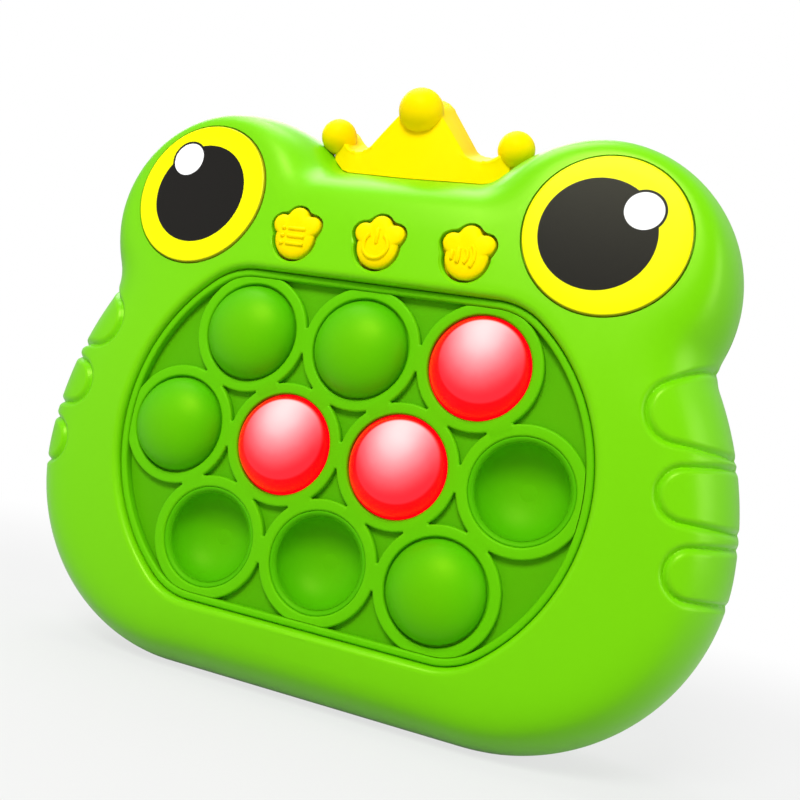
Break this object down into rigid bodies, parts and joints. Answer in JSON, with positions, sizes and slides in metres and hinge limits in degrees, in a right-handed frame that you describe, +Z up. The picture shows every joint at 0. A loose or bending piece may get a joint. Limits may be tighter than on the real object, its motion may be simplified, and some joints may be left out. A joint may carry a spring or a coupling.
{
  "type": "quick push game",
  "caption": "Hand-held electronic push-bubble game shaped as a crowned frog's head, with light-up bubbles, control buttons and a battery door.",
  "frame": {"origin": "centre of the bounding box on the flat chin that the toy stands on", "axes": "+X to the right seen from the front, -Y out of the face, +Z up towards the crown"},
  "size_m": [0.1442, 0.0396, 0.122],
  "materials": {
    "green_shell": "glossy moulded ABS",
    "yellow_plastic": "glossy moulded ABS",
    "eye_print": "smooth printed disc",
    "green_silicone": "satin silicone rubber",
    "red_lit_silicone": "silicone lit from behind",
    "white_plastic": "matt white ABS",
    "circuit_board": "green solder resist",
    "chip_black": "moulded black resin",
    "led_package": "white LED package",
    "contact_steel": "nickel-plated spring steel",
    "screw_steel": "zinc-plated steel",
    "battery_skin": "plain printed film on steel",
    "lead_skin": "PVC insulation"
  },
  "bodies": {
    "case": {"front_shell": "green_shell", "rear_shell": "green_shell", "crown": "yellow_plastic", "eye_disc_left": "eye_print", "eye_disc_right": "eye_print", "bubble_panel": "green_silicone", "bubble_frame": "white_plastic", "frame_screws": "screw_steel", "main_board": "circuit_board", "board_screws": "screw_steel", "snap_domes": "contact_steel", "leds": "led_package", "control_chip": "chip_black", "capacitors": "chip_black", "button_board": "circuit_board", "button_switches": "chip_black", "button_board_screws": "screw_steel", "speaker": "chip_black", "case_screws": "screw_steel", "battery_1": "battery_skin", "battery_2": "battery_skin", "battery_3": "battery_skin", "contact_plates": "contact_steel", "battery_springs": "contact_steel", "battery_leads": "lead_skin", "speaker_leads": "lead_skin", "button_ribbon": "lead_skin"},
    "bubble_01": {"bubble_01": "green_silicone"},
    "bubble_02": {"bubble_02": "green_silicone"},
    "bubble_03": {"bubble_03": "red_lit_silicone"},
    "bubble_04": {"bubble_04": "green_silicone"},
    "bubble_05": {"bubble_05": "red_lit_silicone"},
    "bubble_06": {"bubble_06": "red_lit_silicone"},
    "bubble_07": {"bubble_07": "green_silicone"},
    "bubble_08": {"bubble_08": "green_silicone"},
    "bubble_09": {"bubble_09": "green_silicone"},
    "bubble_10": {"bubble_10": "green_silicone"},
    "menu_button": {"menu_button": "yellow_plastic"},
    "power_button": {"power_button": "yellow_plastic"},
    "volume_button": {"volume_button": "yellow_plastic"},
    "battery_door": {"battery_door": "green_shell", "door_screw": "screw_steel"}
  },
  "joints": [
    {"name": "bubble_01_push", "type": "slide", "parent": "case", "child": "bubble_01", "axis": [0, 1, 0], "range_m": [0, 0.012]},
    {"name": "bubble_02_push", "type": "slide", "parent": "case", "child": "bubble_02", "axis": [0, 1, 0], "range_m": [0, 0.012]},
    {"name": "bubble_03_push", "type": "slide", "parent": "case", "child": "bubble_03", "axis": [0, 1, 0], "range_m": [0, 0.012]},
    {"name": "bubble_04_push", "type": "slide", "parent": "case", "child": "bubble_04", "axis": [0, 1, 0], "range_m": [0, 0.012]},
    {"name": "bubble_05_push", "type": "slide", "parent": "case", "child": "bubble_05", "axis": [0, 1, 0], "range_m": [0, 0.012]},
    {"name": "bubble_06_push", "type": "slide", "parent": "case", "child": "bubble_06", "axis": [0, 1, 0], "range_m": [0, 0.012]},
    {"name": "bubble_07_push", "type": "slide", "parent": "case", "child": "bubble_07", "axis": [0, -1, 0], "range_m": [0, 0.012]},
    {"name": "bubble_08_push", "type": "slide", "parent": "case", "child": "bubble_08", "axis": [0, -1, 0], "range_m": [0, 0.012]},
    {"name": "bubble_09_push", "type": "slide", "parent": "case", "child": "bubble_09", "axis": [0, -1, 0], "range_m": [0, 0.012]},
    {"name": "bubble_10_push", "type": "slide", "parent": "case", "child": "bubble_10", "axis": [0, 1, 0], "range_m": [0, 0.012]},
    {"name": "menu_button_press", "type": "slide", "parent": "case", "child": "menu_button", "axis": [0, 1, 0], "range_m": [0, 0.0008], "stiffness_N_per_m": 600},
    {"name": "power_button_press", "type": "slide", "parent": "case", "child": "power_button", "axis": [0, 1, 0], "range_m": [0, 0.0008], "stiffness_N_per_m": 600},
    {"name": "volume_button_press", "type": "slide", "parent": "case", "child": "volume_button", "axis": [0, 1, 0], "range_m": [0, 0.0008], "stiffness_N_per_m": 600},
    {"name": "battery_door_hinge", "type": "hinge", "parent": "case", "child": "battery_door", "pos_m": [0, 0.01975, 0.02015], "axis": [-1, 0, 0], "range_deg": [0, 70]}
  ]
}
